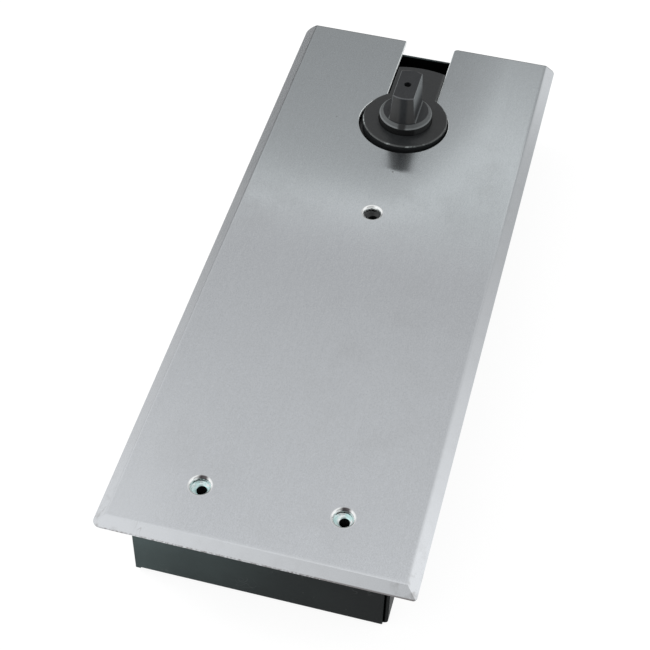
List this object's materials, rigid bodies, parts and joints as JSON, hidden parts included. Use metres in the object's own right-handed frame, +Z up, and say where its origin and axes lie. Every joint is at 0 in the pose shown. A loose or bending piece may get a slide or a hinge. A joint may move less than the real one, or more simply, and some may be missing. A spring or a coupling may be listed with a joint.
{
  "type": "floor spring door closer",
  "caption": "Floor spring door closer: bevelled steel cover plate with a keyhole cut-out over a cement box, a sprung and damped spindle with a flat-sided drive.",
  "frame": {"origin": "on the underside of the cement box, directly below the spindle's axis", "axes": "+X across the closer, +Y along it toward the spindle's end, +Z up out of the floor"},
  "size_m": [0.1245, 0.3107, 0.0629],
  "materials": {
    "plate_steel": "brushed along its length",
    "box_paint": "satin",
    "casting": "fine cast, painted, matte",
    "dark_steel": "phosphated, matte",
    "zinc_steel": "zinc-plated",
    "machined_steel": "machined",
    "spring_steel": "oiled",
    "bronze": "machined",
    "seal_rubber": "matte"
  },
  "bodies": {
    "housing": {"cover_plate": "plate_steel", "cement_box": "box_paint", "fixing_bridge": "box_paint", "plate_insert_left": "zinc_steel", "plate_insert_right": "zinc_steel", "closer_body": "casting", "base_plate": "zinc_steel", "base_gasket": "seal_rubber", "base_screw_1": "zinc_steel", "base_screw_2": "zinc_steel", "base_screw_3": "zinc_steel", "base_screw_4": "zinc_steel", "base_screw_5": "zinc_steel", "base_screw_6": "zinc_steel", "end_screw_1": "zinc_steel", "end_screw_2": "zinc_steel", "end_screw_3": "zinc_steel", "end_screw_4": "zinc_steel", "box_stud_1": "zinc_steel", "flange_nut_1": "zinc_steel", "box_stud_2": "zinc_steel", "flange_nut_2": "zinc_steel", "box_stud_3": "zinc_steel", "flange_nut_3": "zinc_steel", "box_stud_4": "zinc_steel", "flange_nut_4": "zinc_steel", "end_cover": "zinc_steel", "end_gasket": "seal_rubber", "upper_bushing": "bronze", "spindle_seal": "seal_rubber", "lower_bearing_outer": "machined_steel", "power_spring_left": "spring_steel", "power_spring_right": "spring_steel", "spring_stop_left": "machined_steel", "spring_stop_right": "machined_steel"},
    "spindle": {"spindle": "dark_steel", "lower_bearing_inner": "machined_steel"},
    "bearing_cage": {"lower_bearing_cage": "machined_steel"},
    "carriage": {"carriage_lower": "machined_steel", "carriage_upper": "machined_steel", "crosshead": "machined_steel", "carriage_rivet_1": "machined_steel", "carriage_rivet_2": "machined_steel", "near_pin": "machined_steel", "far_pin": "machined_steel", "damper_piston": "machined_steel", "piston_ring": "seal_rubber", "check_seat": "bronze"},
    "near_roller": {"near_roller": "machined_steel"},
    "far_roller": {"far_roller": "machined_steel"},
    "check_ball": {"check_ball": "machined_steel"},
    "closing_valve": {"closing_valve": "bronze", "closing_valve_ring": "seal_rubber"},
    "latching_valve": {"latching_valve": "bronze", "latching_valve_ring": "seal_rubber"}
  },
  "joints": [
    {"name": "spindle_turn", "type": "hinge", "parent": "housing", "child": "spindle", "pos_m": [0, 0, 0.0215], "axis": [0, 0, 1], "range_deg": [0, 130], "stiffness_Nm_per_rad": 4, "springref_deg": -5.73},
    {"name": "cage_turn", "type": "hinge", "parent": "housing", "child": "bearing_cage", "pos_m": [0, 0, 0.0089], "axis": [0, 0, 1], "range_deg": [0, 56]},
    {"name": "carriage_slide", "type": "slide", "parent": "housing", "child": "carriage", "axis": [0, -1, 0], "range_m": [0, 0.0083], "deforming": ["power_spring_left", "power_spring_right"]},
    {"name": "near_roller_turn", "type": "hinge", "parent": "carriage", "child": "near_roller", "pos_m": [0, -0.015, 0.0198], "axis": [0, 0, 1], "continuous": true},
    {"name": "far_roller_turn", "type": "hinge", "parent": "carriage", "child": "far_roller", "pos_m": [0, 0.02631, 0.0198], "axis": [0, 0, 1], "continuous": true},
    {"name": "check_ball_lift", "type": "slide", "parent": "carriage", "child": "check_ball", "axis": [0, 1, 0], "range_m": [0, 0.0015]},
    {"name": "closing_valve_turn", "type": "hinge", "parent": "housing", "child": "closing_valve", "pos_m": [-0.01385, -0.092, 0.0325], "axis": [0, 0, 1], "range_deg": [0, 180]},
    {"name": "latching_valve_turn", "type": "hinge", "parent": "housing", "child": "latching_valve", "pos_m": [0.01385, -0.092, 0.0325], "axis": [0, 0, 1], "range_deg": [0, 180]}
  ],
  "couplings": [
    {"joint": "carriage_slide", "follows": "spindle_turn", "m_per_rad": 0.0036},
    {"joint": "cage_turn", "follows": "spindle_turn", "ratio": 0.4196}
  ]
}
